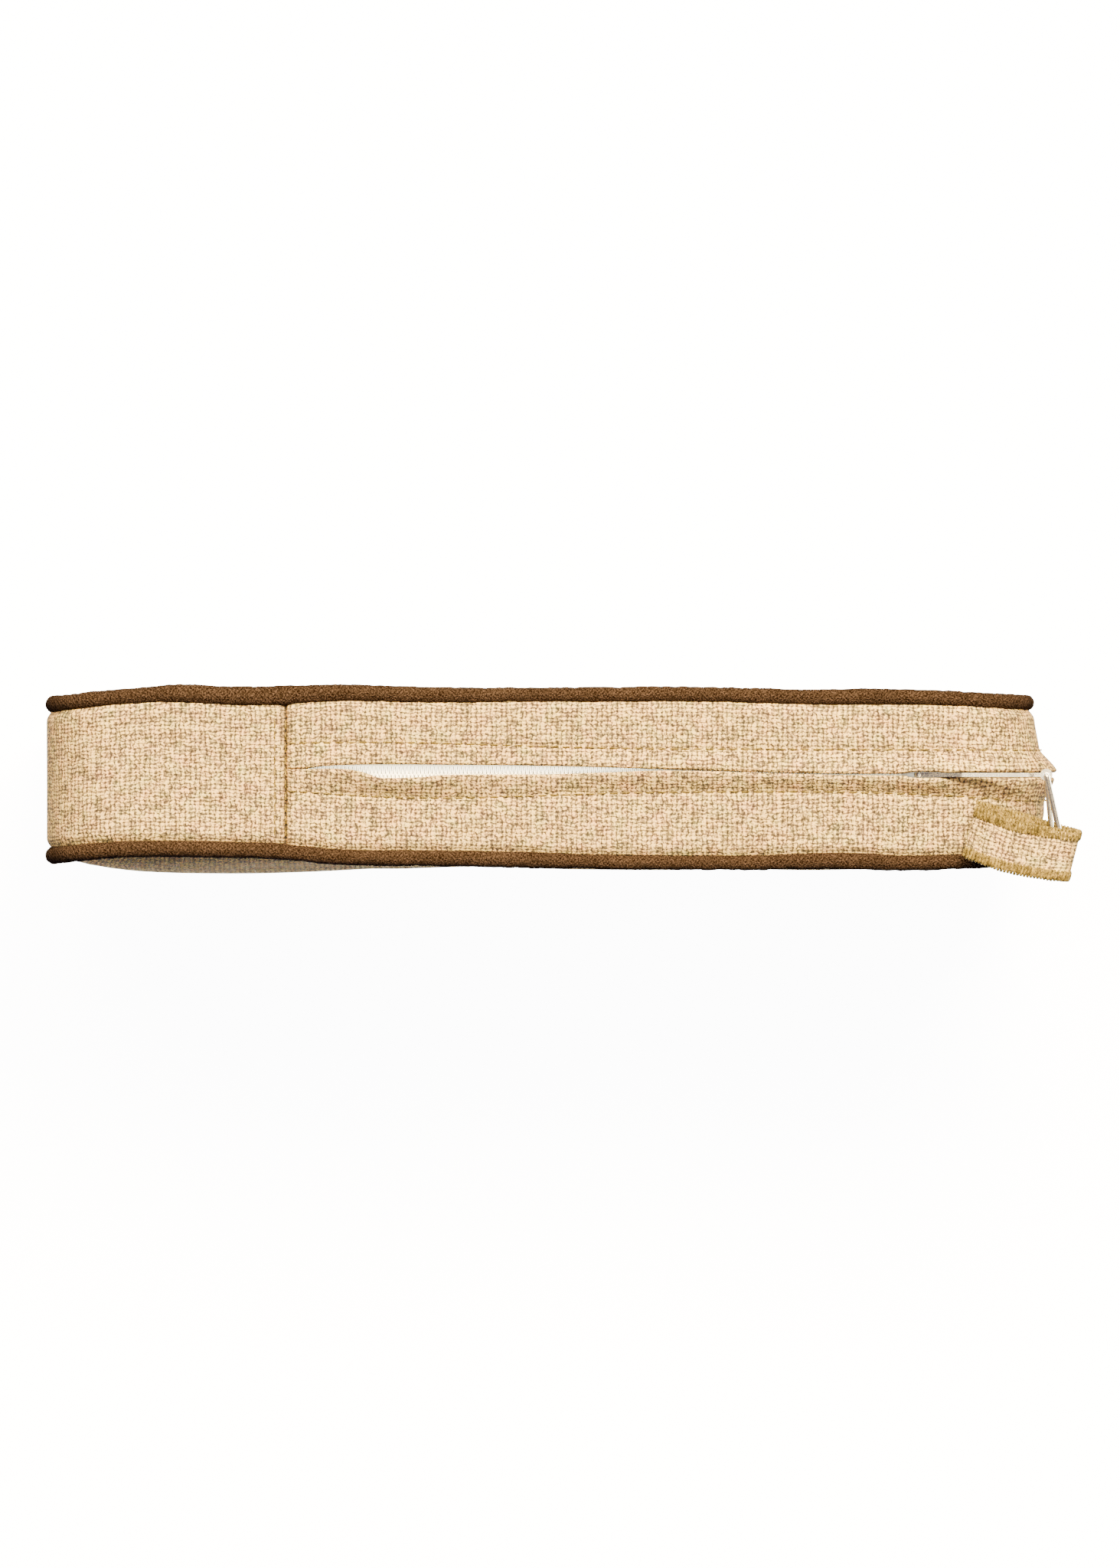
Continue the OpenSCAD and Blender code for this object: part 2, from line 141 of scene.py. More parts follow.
class PouchSizes(bpy.types.PropertyGroup):
    """Sizes of the cloth, piping and stitching."""

    length: bpy.props.FloatProperty(
        name="Length", description="Length over the gusset",
        default=GUSSET_HIGH.x - GUSSET_LOW.x, unit="LENGTH")
    height: bpy.props.FloatProperty(
        name="Height", description="Height over the gusset",
        default=GUSSET_HIGH.z - GUSSET_LOW.z, unit="LENGTH")
    gusset: bpy.props.FloatProperty(
        name="Gusset", description="Width of the gusset between its seams",
        default=GUSSET_HIGH.y - GUSSET_LOW.y, unit="LENGTH")
    top_radius: bpy.props.FloatProperty(
        name="Top corners", description="Radius of the top corners", default=0.024, unit="LENGTH")
    bottom_radius: bpy.props.FloatProperty(
        name="Bottom corners", description="Radius of the bottom corners", default=0.042, unit="LENGTH")
    zip_start: bpy.props.FloatProperty(
        name="Zip start", description="Place of the seam where the zip starts",
        default=FLAP_LOW.x, unit="LENGTH")
    zip_end: bpy.props.FloatProperty(
        name="Zip end", description="Height of the seam where the zip stops",
        default=FLAP_LOW.z, unit="LENGTH")
    cloth: bpy.props.FloatProperty(
        name="Cloth", description="Thickness of the outer cloth", default=0.0012, unit="LENGTH")
    piping: bpy.props.FloatProperty(
        name="Piping", description="Radius of the finished piping", default=0.0022, unit="LENGTH")
    crown: bpy.props.FloatProperty(
        name="Crown", description="How far the front panel swells", default=0.0040, unit="LENGTH")
    stitch: bpy.props.FloatProperty(
        name="Stitch", description="Length of one topstitch", default=0.0026, unit="LENGTH")
    tab_width: bpy.props.FloatProperty(
        name="Tab width", description="Width of the pull tab's strip", default=0.0145, unit="LENGTH")


class PouchColours(bpy.types.PropertyGroup):
    """Colours of the cloth, thread and metal."""

    yarn: bpy.props.FloatVectorProperty(
        name="Yarn", description="Cream yarn of the weave", default=(0.95, 0.67, 0.238), subtype="COLOR")
    # Painted shade: the colour of the gaps between the yarns, laid where the weave lies low
    gap: bpy.props.FloatVectorProperty(
        name="Gaps", description="Shaded gaps between the yarns",
        default=(0.088, 0.069, 0.044), subtype="COLOR")
    # Painted shade: laid in patches in the holes where the yarns part
    hole_shade: bpy.props.FloatVectorProperty(
        name="Flecks", description="Dark brown flecks in the weave",
        default=(0.042, 0.032, 0.021), subtype="COLOR")
    piping: bpy.props.FloatVectorProperty(
        name="Piping", description="Brown piping cover", default=(0.0345, 0.0225, 0.0130), subtype="COLOR")
    thread: bpy.props.FloatVectorProperty(
        name="Thread", description="Mustard thread", default=(0.17, 0.125, 0.030), subtype="COLOR")
    zip: bpy.props.FloatVectorProperty(
        name="Zip", description="White zip coil and tape", default=(0.96, 0.89, 0.65), subtype="COLOR")
    nickel: bpy.props.FloatVectorProperty(
        name="Nickel", description="Nickel plate", default=(0.66, 0.62, 0.47), subtype="COLOR")
    lining: bpy.props.FloatVectorProperty(
        name="Lining", description="Cotton lining", default=(0.42, 0.31, 0.19), subtype="COLOR")


def through(points, x, column=1):
    """Value of a smooth curve through points (place, values...) at a place."""
    if x <= points[0][0]:
        return points[0][column]
    for k in range(len(points) - 1):
        a, b = points[k], points[k + 1]
        if x <= b[0]:
            break
    else:
        return points[-1][column]
    before = points[max(k - 1, 0)]
    after = points[min(k + 2, len(points) - 1)]
    span = b[0] - a[0]
    t = (x - a[0]) / span
    rise_a = (b[column] - before[column]) / (b[0] - before[0]) * span
    rise_b = (after[column] - a[column]) / (after[0] - a[0]) * span
    t2, t3 = t * t, t * t * t
    return ((2 * t3 - 3 * t2 + 1) * a[column] + (t3 - 2 * t2 + t) * rise_a
            + (3 * t2 - 2 * t3) * b[column] + (t3 - t2) * rise_b)


def ease(t):
    """A smooth step from 0 to 1."""
    t = min(max(t, 0.0), 1.0)
    return t * t * (3 - 2 * t)


class Outline:
    """The gusset's rounded outline, measured clockwise in metres from the middle of the top."""

    def __init__(self, sizes):
        half, high = sizes.length / 2, sizes.height
        rt, rb = sizes.top_radius, sizes.bottom_radius
        self.runs = [
            ((0, high), (1, 0), half - rt, None),
            ((half - rt, high - rt), 90, rt * math.pi / 2, rt),
            ((half, high - rt), (0, -1), high - rt - rb, None),
            ((half - rb, rb), 0, rb * math.pi / 2, rb),
            ((half - rb, 0), (-1, 0), 2 * (half - rb), None),
            ((rb - half, rb), -90, rb * math.pi / 2, rb),
            ((-half, rb), (0, 1), high - rt - rb, None),
            ((rt - half, high - rt), 180, rt * math.pi / 2, rt),
            ((rt - half, high), (1, 0), half - rt, None),
        ]
        self.total = sum(run[2] for run in self.runs)

    def at(self, s):
        """Point and outward normal in X and Z."""
        s %= self.total
        for start, way, span, radius in self.runs:
            if s <= span:
                break
            s -= span
        if radius is None:
            return start[0] + way[0] * s, start[1] + way[1] * s, -way[1], way[0]
        angle = math.radians(way) - s / radius
        nx, nz = math.cos(angle), math.sin(angle)
        return start[0] + radius * nx, start[1] + radius * nz, nx, nz

    def zip_stop(self, sizes):
        """Length at which the zip's seam crosses the right end."""
        corner = self.runs[0][2] + self.runs[1][2]
        return corner + sizes.height - sizes.top_radius - sizes.zip_end


def seam_y(sizes, side, x):
    """Signed place of a piped seam, which wanders from straight."""
    wander = through(BACK_SEAM if side > 0 else FRONT_SEAM, x / MM) * MM
    return side * (sizes.gusset / 2 + wander)


def squared(wave, power):
    """A wave from -1 to 1 made squarer by a power under 1."""
    return math.copysign(abs(wave) ** power, wave)


def ripple(x, y, z, scale=45.0):
    """Slow, repeatable unevenness of cloth, from about -1 to 1."""
    return noise.noise(Vector((x, y, z)) * scale)


def seam_ripple(x, y, z, seam):
    """Unevenness of the gusset, held flat beside a seam."""
    return GUSSET_RIPPLE * ripple(x, y, z) * ease(seam / (6 * MM))


def dip(distance, reach):
    """How deep a seam pulls the cloth in at a distance from it: 1 in the seam, 0 well past its reach."""
    return math.exp(-((distance / reach) ** 2))


def raised(spot, y, lift):
    """The point over a spot of the outline (x, z and its normal), lifted off along the normal."""
    x, z, nx, nz = spot
    return Vector((x + nx * lift, y, z + nz * lift))


def select_only(piece):
    """Makes a piece the only selected one and the active one."""
    bpy.ops.object.select_all(action="DESELECT")
    piece.select_set(True)
    bpy.context.view_layer.objects.active = piece


def apply_modifier(piece, kind, **settings):
    """Adds a modifier, sets it and applies it to the mesh."""
    select_only(piece)
    modifier = piece.modifiers.new(kind.title(), kind)
    for key, value in settings.items():
        setattr(modifier, key, value)
    bpy.ops.object.modifier_apply(modifier=modifier.name)


def mesh_piece(name, points, faces):
    """A new mesh object, the only one selected."""
    mesh = bpy.data.meshes.new(name)
    mesh.from_pydata([tuple(point) for point in points], [], faces)
    piece = bpy.data.objects.new(name, mesh)
    bpy.context.collection.objects.link(piece)
    select_only(piece)
    return piece


def cloth_grid(name, steps, place, size, across=None):
    """A flat grid whose points are laid in place by a function of their two shares; its map is in metres.

    across gives the place across the cloth where its rows aren't evenly spaced.
    """
    bpy.ops.object.select_all(action="DESELECT")
    bpy.ops.mesh.primitive_grid_add(x_subdivisions=steps[0], y_subdivisions=steps[1], size=1)
    cloth = bpy.context.object
    cloth.name = cloth.data.name = name
    for vertex in cloth.data.vertices:
        vertex.co = place(vertex.co.x + 0.5, vertex.co.y + 0.5)
    layer = cloth.data.uv_layers[0]
    layer.name = "cloth"
    for corner in layer.data:
        u, v = corner.uv
        corner.uv = (u * size[0], across(u, v) if across else v * size[1])
    bpy.ops.object.shade_smooth()
    return cloth


def lit_group(name):
    """The collection of pieces that a light of its own shines on, made when first asked for."""
    return bpy.data.collections.get(name) or bpy.data.collections.new(name)


def tube(name, path, radius, sides, closed=False):
    """A round tube along points, with a map of its length and girth in metres; radius may be a function."""
    count = len(path)
    points, faces, coords = [], [], []
    girth = None
    travelled = [0.0]
    for k in range(1, count + 1):
        travelled.append(travelled[-1] + (path[k % count] - path[k - 1]).length)
    normal = None
    for k, point in enumerate(path):
        ahead = path[(k + 1) % count] if closed or k + 1 < count else point
        behind = path[k - 1] if closed or k > 0 else point
        along = (ahead - behind).normalized()
        if normal is None:
            normal = along.orthogonal()
        normal = (normal - along * normal.dot(along)).normalized()
        across = along.cross(normal)
        r = radius(k, point) if callable(radius) else radius
        girth = girth or 2 * math.pi * r
        for i in range(sides):
            a = 2 * math.pi * i / sides
            points.append(point + (normal * math.cos(a) + across * math.sin(a)) * r)
    for k in range(count if closed else count - 1):
        for i in range(sides):
            j = (i + 1) % sides
            base, ahead = k * sides, ((k + 1) % count) * sides
            faces.append((base + i, base + j, ahead + j, ahead + i))
            v0, v1 = girth * i / sides, girth * (i + 1) / sides
            s0, s1 = travelled[k], travelled[k + 1]
            coords += [(s0, v0), (s0, v1), (s1, v1), (s1, v0)]
    if not closed:
        for ring in (list(range(sides))[::-1], [(count - 1) * sides + i for i in range(sides)]):
            faces.append(tuple(ring))
            coords += [(0.0, 0.0)] * sides
    piece = mesh_piece(name, points, faces)
    layer = piece.data.uv_layers.new(name="cloth")
    for corner, uv in zip(layer.data, coords):
        corner.uv = uv
    bpy.ops.object.shade_smooth()
    return piece


def bent_wire(name, path, radius):
    """A closed ring of round wire bent along points, drawn as a curve and turned into a mesh."""
    bpy.ops.object.select_all(action="DESELECT")
    bpy.ops.curve.primitive_nurbs_circle_add()
    wire = bpy.context.object
    wire.name = name
    curve = wire.data
    curve.splines.clear()
    spline = curve.splines.new("POLY")
    spline.points.add(len(path) - 1)
    for knot, point in zip(spline.points, path):
        knot.co = (*point, 1.0)
    spline.use_cyclic_u = True
    curve.bevel_depth = radius
    curve.bevel_resolution = 5
    bpy.ops.object.convert(target="MESH")
    wire.data.name = name
    bpy.ops.object.shade_smooth()
    return wire


def dress(piece, material, body, slot, *nodes):
    """Gives a piece its finish and its body, and hides the nodes that it stands for."""
    piece.data.materials.clear()
    piece.data.materials.append(material)
    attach(piece, body)
    if nodes:
        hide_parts(*nodes)
    return piece


class Finish:
    """A small builder for one node material."""

    def __init__(self, name, roughness, **sockets):
        self.material = bpy.data.materials.new(name)
        self.material.use_nodes = True
        self.nodes = self.material.node_tree.nodes
        self.links = self.material.node_tree.links
        self.shader = self.nodes["Principled BSDF"]
        self.shader.inputs["Roughness"].default_value = roughness
        for key, value in sockets.items():
            self.shader.inputs[key.replace("_", " ")].default_value = value

    def node(self, kind, settings=None, **inputs):
        """A node with its settings and its inputs, each a socket or a value."""
        made = self.nodes.new("ShaderNode" + kind)
        for key, value in (settings or {}).items():
            setattr(made, key, value)
        for key, value in inputs.items():
            numbered = key[0] == "i" and key[1:].isdigit()
            self.plug(made.inputs[int(key[1:]) if numbered else key], value)
        return made

    def plug(self, socket, value):
        """Links a socket into an input, or sets the input's value."""
        if isinstance(value, bpy.types.NodeSocket):
            self.links.new(value, socket)
        else:
            socket.default_value = value

    def math(self, operation, a, b=0.0, c=0.0, clamp=False):
        """The result of one sum."""
        settings = {"operation": operation, "use_clamp": clamp}
        return self.node("Math", settings, i0=a, i1=b, i2=c).outputs[0]

    def vectors(self, operation, a, **inputs):
        """The result of one sum of vectors."""
        return self.node("VectorMath", {"operation": operation}, i0=a, **inputs).outputs[0]

    def grey(self, value):
        """A grey of a value's brightness."""
        return self.node("CombineColor", Red=value, Green=value, Blue=value).outputs[0]

    def noise(self, vector, scale, detail=2.0, output=0):
        """Clouds of noise, as a value (output 0) or a colour (output 1)."""
        return self.node("TexNoise", Vector=vector, Scale=scale, Detail=detail).outputs[output]

    def ramp(self, factor, stops):
        """A ramp through colours at given places."""
        made = self.node("ValToRGB", Fac=factor)
        elements = made.color_ramp.elements
        while len(elements) < len(stops):
            elements.new(0.5)
        for element, (place, colour) in zip(elements, stops):
            element.position = place
            element.color = (*colour, 1.0)
        return made.outputs[0]

    def mix(self, factor, a, b, blend="MIX"):
        """Two colours blended by a factor; each is a socket or three numbers."""
        made = self.node("Mix", {"data_type": "RGBA", "blend_type": blend}, i0=factor)
        for place, colour in ((6, a), (7, b)):
            is_socket = isinstance(colour, bpy.types.NodeSocket)
            self.plug(made.inputs[place], colour if is_socket else (*colour, 1.0))
        return made.outputs[2]

    def done(self, colour, height=None, depth=0.3 * MM, strength=0.6, roughness=None):
        """The material, with its colour, its relief and its roughness linked in."""
        self.plug(self.shader.inputs["Base Color"], colour)
        if height is not None:
            bump = self.node("Bump", Height=height, Distance=depth, Strength=strength)
            self.links.new(bump.outputs[0], self.shader.inputs["Normal"])
        if roughness is not None:
            self.plug(self.shader.inputs["Roughness"], roughness)
        return self.material


def weave_height(finish, vector, pitch, wander, scale):
    """Height from 0 to 1 of a plain weave with yarns of the two pitches, and each crossing's own tone."""
    shift = finish.vectors("SUBTRACT", finish.noise(vector, scale, 2.0, 1), i1=(0.5, 0.5, 0.5))
    shift = finish.vectors("SCALE", shift, Scale=wander)
    moved = finish.vectors("ADD", vector, i1=shift)
    parts = finish.node("SeparateXYZ", Vector=moved)
    swell, plies, cell = [], [], []
    for axis in range(2):
        yarns = finish.math("DIVIDE", parts.outputs[axis], pitch[axis])
        for waves, turns in ((swell, 2 * math.pi), (plies, 4 * math.pi)):
            wave = finish.math("COSINE", finish.math("MULTIPLY", yarns, turns))
            waves.append(finish.math("MULTIPLY_ADD", wave, -0.5, 0.5))
        cell.append(finish.math("FLOOR", yarns))
    over = finish.math("FLOORED_MODULO", finish.math("ADD", cell[0], cell[1]), 2.0)
    lean = []
    for across, along in ((0, 1), (1, 0)):
        arch = finish.math("MULTIPLY", swell[along], 0.4)
        arch = finish.math("MULTIPLY_ADD", plies[across], 0.2, arch)
        lean.append(finish.math("MULTIPLY_ADD", swell[across], 0.5, arch))
    height = finish.node("Mix", {"data_type": "FLOAT"}, i0=over, i2=lean[0], i3=lean[1]).outputs[0]
    place = finish.node("CombineXYZ", X=cell[0], Y=cell[1]).outputs[0]
    tone = finish.node("TexWhiteNoise", {"noise_dimensions": "2D"}, Vector=place).outputs[0]
    return height, tone


def cloth_map(finish):
    """The cloth's own map, in metres."""
    return finish.node("UVMap", {"uv_map": "cloth"}).outputs[0]


def canvas_finish(colours):
    """Chunky cream weave with uneven yarns; painted shade darkens the gaps between the yarns and, in
    patches, the holes where the yarns part.
    """
    finish = Finish("cream_canvas", 0.92, Specular_IOR_Level=0.05, Sheen_Weight=0.03)
    vector = cloth_map(finish)
    height, tone = weave_height(finish, vector, (1.42 * MM, 1.25 * MM), 2.2 * MM, 420.0)
    slub = finish.noise(vector, 420.0, 2.0)
    fibre = finish.noise(vector, 1900.0, 3.0)
    cover = finish.math("MULTIPLY_ADD", height, 0.5, -0.73)
    for uneven, share in ((fibre, 1.25), (slub, 0.6), (tone, 0.15)):
        cover = finish.math("MULTIPLY_ADD", uneven, share, cover)
    yarn, gap = Vector(colours.yarn), Vector(colours.gap)
    # Painted shade: the ramp runs from the gap colour where the weave lies low up to the cream yarn on its
    # tops, mixed with random fibre and slub tone
    colour = finish.ramp(cover, [
        (0.22, gap * 0.65), (0.32, gap), (0.41, gap.lerp(yarn, 0.085)), (0.50, gap.lerp(yarn, 0.19)),
        (0.57, gap.lerp(yarn, 0.35)), (0.64, gap.lerp(yarn, 0.64)), (0.74, yarn)])
    # Painted shade in the holes where the yarns part, laid only in random patches
    parted = finish.math("MULTIPLY_ADD", height, -4.0, 1.3, clamp=True)
    patch = finish.math("MULTIPLY_ADD", finish.noise(vector, 640.0, 2.0), 9.0, -4.0, clamp=True)
    hole_shade_mask = finish.math("MULTIPLY", finish.math("MULTIPLY", parted, patch), 0.8)
    colour = finish.mix(hole_shade_mask, colour, Vector(colours.hole_shade))
    broad = finish.noise(vector, 35.0, 3.0)
    shade = finish.math("MULTIPLY_ADD", broad, 0.3, 0.85)
    colour = finish.mix(1.0, colour, finish.grey(shade), "MULTIPLY")
    hues = finish.noise(vector, 260.0, 2.0, 1)
    tint = finish.vectors("MULTIPLY_ADD", hues, i1=(0.4, 0.4, 0.4), i2=(0.8, 0.8, 0.8))
    colour = finish.mix(1.0, colour, tint, "MULTIPLY")
    return finish.done(colour, cover, 0.4 * MM, 0.5)


def piping_finish(colours):
    """Rough brown woven cover: its tone follows random fuzz and the weave, with painted shade where the
    weave lies low and a painted, paler highlight on the raised yarns.
    """
    finish = Finish("brown_piping", 0.95, Specular_IOR_Level=0.0)
    bias = (0.0, 0.0, math.radians(45))
    vector = finish.node("Mapping", Vector=cloth_map(finish), Rotation=bias).outputs[0]
    height, tone = weave_height(finish, vector, (1.0 * MM, 0.85 * MM), 2.4 * MM, 900.0)
    nap = finish.noise(vector, 2400.0, 4.0)
    tuft = finish.math("MULTIPLY_ADD", nap, 1.7, -0.62)
    cover = finish.math("ADD", finish.math("MULTIPLY", height, 0.42), tuft)
    cover = finish.math("ADD", cover, finish.math("MULTIPLY_ADD", tone, 0.12, -0.06))
    brown = Vector(colours.piping)
    # Random fuzz mixed with painted light: the low stops are painted shade, the high, paler and bluer stops
    # a painted highlight on the raised yarns
    fibre_shade_and_highlight = ((0.16, (0.3, 0.17, 0.08)), (0.29, (0.6, 0.5, 0.36)), (0.45, (1.0, 1.0, 1.0)),
              (0.63, (1.8, 1.8, 2.1)), (0.78, (2.8, 2.7, 3.2)))
    colour = finish.ramp(cover, [(place, brown * Vector(shade)) for place, shade in fibre_shade_and_highlight])
    broad = finish.math("MULTIPLY_ADD", finish.noise(vector, 60.0, 2.0), 0.6, 0.7)
    colour = finish.mix(1.0, colour, finish.grey(broad), "MULTIPLY")
    return finish.done(colour, cover, 0.5 * MM, 0.9)


def thread_finish(colours):
    """Mustard thread with the twist of its plies, speckled at random between painted shade and painted
    highlights.
    """
    finish = Finish("mustard_thread", 0.8, Specular_IOR_Level=0.1)
    vector = finish.node("TexCoord").outputs["Object"]
    twist = finish.noise(vector, 2600.0, 2.0)
    tone = finish.noise(vector, 800.0, 2.0)
    thread = Vector(colours.thread)
    plies = finish.math("MULTIPLY_ADD", twist, 0.5, finish.math("MULTIPLY", tone, 0.5))
    # Painted light: a random speckle from far below the thread's colour, painted shade between its plies,
    # to far above it, painted highlights
    colour = finish.ramp(plies, [(0.38, thread * 0.28), (0.5, thread), (0.62, thread * 2.3)])
    return finish.done(colour, twist, 0.15 * MM, 0.6)


def tape_finish(colours):
    """White zip tape woven in fine ribs, with painted shade where the ribs lie low."""
    finish = Finish("zip_tape_white", 0.85, Specular_IOR_Level=0.2)
    vector = cloth_map(finish)
    height, _ = weave_height(finish, vector, (0.5 * MM, 0.42 * MM), 0.1 * MM, 300.0)
    white = Vector(colours.zip)
    # Painted shade: the tape is greyer where its weave lies low
    colour = finish.ramp(height, [(0.0, white * 0.72), (0.6, white)])
    return finish.done(colour, height, 0.12 * MM, 0.5)


def coil_finish(colours):
    """Satin white nylon of the zip's coil."""
    finish = Finish("zip_coil_nylon", 0.42, Specular_IOR_Level=0.4)
    vector = finish.node("TexCoord").outputs["Object"]
    tone = finish.noise(vector, 900.0, 2.0)
    white = Vector(colours.zip)
    colour = finish.ramp(tone, [(0.3, white * 0.94), (0.7, white)])
    return finish.done(colour, tone, 0.03 * MM, 0.3)


def nickel_finish(colours):
    """Polished nickel plate with fine handling marks."""
    finish = Finish("nickel_plate", 0.2, Metallic=1.0)
    vector = finish.node("TexCoord").outputs["Object"]
    cloud = finish.noise(vector, 300.0, 3.0)
    drawn_out = finish.node("Mapping", Vector=vector, Scale=(1.0, 9.0, 9.0)).outputs[0]
    scratch = finish.noise(drawn_out, 700.0, 3.0)
    nickel = Vector(colours.nickel)
    colour = finish.ramp(cloud, [(0.3, nickel * 0.85), (0.7, nickel * 1.1)])
    rough = finish.math("MULTIPLY_ADD", scratch, 0.24, 0.16)
    return finish.done(colour, scratch, 0.02 * MM, 0.25, rough)


def plain_cloth_finish(name, tone, pitch):
    """Flat woven or felted cloth for what lies inside the bag."""
    finish = Finish(name, 0.95, Specular_IOR_Level=0.1)
    vector = finish.node("TexCoord").outputs["Object"]
    fibre = finish.noise(vector, 1.0 / pitch, 4.0)
    broad = finish.noise(vector, 60.0, 2.0)
    tone = Vector(tone)
    mottle = finish.math("MULTIPLY_ADD", fibre, 0.8, finish.math("MULTIPLY", broad, 0.2))
    colour = finish.ramp(mottle, [(0.3, tone * 0.75), (0.7, tone * 1.1)])
    return finish.done(colour, fibre, 0.2 * MM, 0.5)


FINISHES = {}


def finishes(context):
    """All finishes of the pouch, made once."""
    if not FINISHES:
        colours = context.scene.pouch_colours
        FINISHES.update(
            canvas=canvas_finish(colours), piping=piping_finish(colours), thread=thread_finish(colours),
            tape=tape_finish(colours), coil=coil_finish(colours), nickel=nickel_finish(colours),
            lining=plain_cloth_finish("cotton_lining", colours.lining, 0.6 * MM),
            padding=plain_cloth_finish("felt_padding", (0.62, 0.61, 0.57), 1.5 * MM),
            binding=plain_cloth_finish("seam_tape", (0.14, 0.075, 0.03), 0.8 * MM),
            cord=plain_cloth_finish("cotton_cord", (0.72, 0.70, 0.64), 0.9 * MM))
    return FINISHES


class POUCH_OT_gusset(bpy.types.Operator):
    """Plain gusset: one strip from the zip's end, under the bag and up to its start."""

    bl_idname = "pouch.gusset"
    bl_label = "Plain gusset"

    def execute(self, context):
        sizes = context.scene.pouch_sizes
        outline = Outline(sizes)
        first = outline.zip_stop(sizes)
        last = outline.total + sizes.zip_start
        half = sizes.length / 2
        crown = 1.6 * MM
        crown_from = 0.8
        off_floor = 0.1 * MM
        lining, lining_gap, lining_margin = 0.4 * MM, 0.3 * MM, -1.3 * MM

        def spot(share, across, depth, margin):
            s = first + share * (last - first)
            x, z, nx, nz = outline.at(s)
            front, back = seam_y(sizes, -1, x) - margin, seam_y(sizes, 1, x) + margin
            y = front + (back - front) * across
            seam = min(y - front, back - y)
            end = min(s - first, last - s)
            swell = crown * ease((x / half - crown_from) / (1 - crown_from)) * max(nx, 0)
            lift = swell * (1 - (2 * across - 1) ** 2)
            lift += seam_ripple(x, y, z, seam) * (1 - max(-nz, 0))
            lift -= SEAM_DIP * dip(seam, SEAM_REACH) + CROSS_DIP * dip(end, CROSS_REACH) + depth
            point = raised((x, z, nx, nz), y, lift)
            point.z = max(point.z, off_floor + depth)
            return point

        below = sizes.cloth + lining_gap
        layers = (
            ("gusset_cloth", sizes.cloth, 0.0, TUCK, "canvas", "gusset_plain"),
            ("gusset_lining", lining, below, lining_margin, "lining", "lining_gusset"),
        )
        for name, thick, depth, margin, finish, node in layers:
            size = (last - first, sizes.gusset + 2 * margin)
            cloth = cloth_grid(name, (420, 44), lambda u, v: spot(u, v, depth, margin), size)
            apply_modifier(cloth, "SOLIDIFY", thickness=thick, offset=-1.0)
            dress(cloth, finishes(context)[finish], "bag", finish, node)
        return {"FINISHED"}


def flap_section(sizes, outline, side, s):
    """Spot of the outline and section (across, lift) of a zip flap, from seam over lip to hem."""
    x, z, nx, nz = outline.at(s)
    edges, rows = (BACK_EDGE, BACK_STITCH) if side > 0 else (FRONT_EDGE, FRONT_STITCH)
    edge, lip = through(edges, s / MM) * MM, through(edges, s / MM, 2) * MM
    row = through(rows, s / MM) * MM
    seam = seam_y(sizes, side, x) + side * TUCK
    roll = 0.8 * MM
    hem = 5.0 * MM
    rolled = edge + side * roll
    bulge, reach = (2.2 * MM, 18 * MM) if side > 0 else (3.0 * MM, 11 * MM)
    end_swell = bulge * max(nx, 0) ** 1.5
    curl = 0.35

    def lift_at(y):
        inward = side * (seam - y)
        share = max((row - y) / (row - rolled), 0)
        lift = end_swell * ease(inward / reach) - SEAM_DIP * dip(inward, SEAM_REACH)
        lift += lip * (curl * ease(share) + (1 - curl) * share)
        lift -= STITCH_DIP * dip(y - row, STITCH_REACH) * (1 - max(nx, 0))
        uneven = FLAP_RIPPLE * ripple(x, y, z) * ease(inward / (5 * MM))
        return lift + uneven * ease(side * (y - rolled) / (4 * MM))

    across = [seam + (rolled - seam) * k / (TOP_ROWS - 1) for k in range(TOP_ROWS)]
    section = [(y, lift_at(y)) for y in across]
    top = section[-1][1]
    for k in range(1, ROLL_ROWS + 1):
        turn = math.pi * k / ROLL_ROWS
        y = edge + side * roll * (1 - math.sin(turn))
        section.append((y, top - roll + roll * math.cos(turn)))
    for k in range(1, HEM_ROWS + 1):
        y = rolled + side * hem * k / HEM_ROWS
        section.append((y, lift_at(y) - 2 * roll))
    return (x, z, nx, nz), section


class POUCH_OT_flaps(bpy.types.Operator):
    """Two zip flaps, each with a rolled lip beside the slit and a hem turned under it."""

    bl_idname = "pouch.flaps"
    bl_label = "Zip flaps"

    def execute(self, context):
        sizes = context.scene.pouch_sizes
        outline = Outline(sizes)
        first, last = sizes.zip_start, outline.zip_stop(sizes)
        long = last - first
        thick = 0.7 * MM
        steps = (250, TOP_ROWS + ROLL_ROWS + HEM_ROWS - 1)
        for side, name in ((1, "back"), (-1, "front")):
            sections = {}

            def row_of(across):
                k = round(across * steps[1])
                return k if side < 0 else steps[1] - k

            def place(share, across):
                column = round(share * steps[0])
                s = first + share * long
                if column not in sections:
                    sections[column] = flap_section(sizes, outline, side, s)
                spot, section = sections[column]
                y, lift = section[row_of(across)]
                end = min(s - first, last - s)
                return raised(spot, y, lift - CROSS_DIP * dip(end, CROSS_REACH))

            def across_cloth(share, across):
                section = sections[round(share * steps[0])][1]
                k = row_of(across)
                return side * sum(math.dist(a, b) for a, b in zip(section[:k], section[1:k + 1]))

            cloth = cloth_grid("flap_cloth_" + name, steps, place, (long, None), across_cloth)
            apply_modifier(cloth, "SOLIDIFY", thickness=thick, offset=-1.0)
            dress(cloth, finishes(context)["canvas"], "bag", "canvas", "zip_flap_" + name)
        return {"FINISHED"}


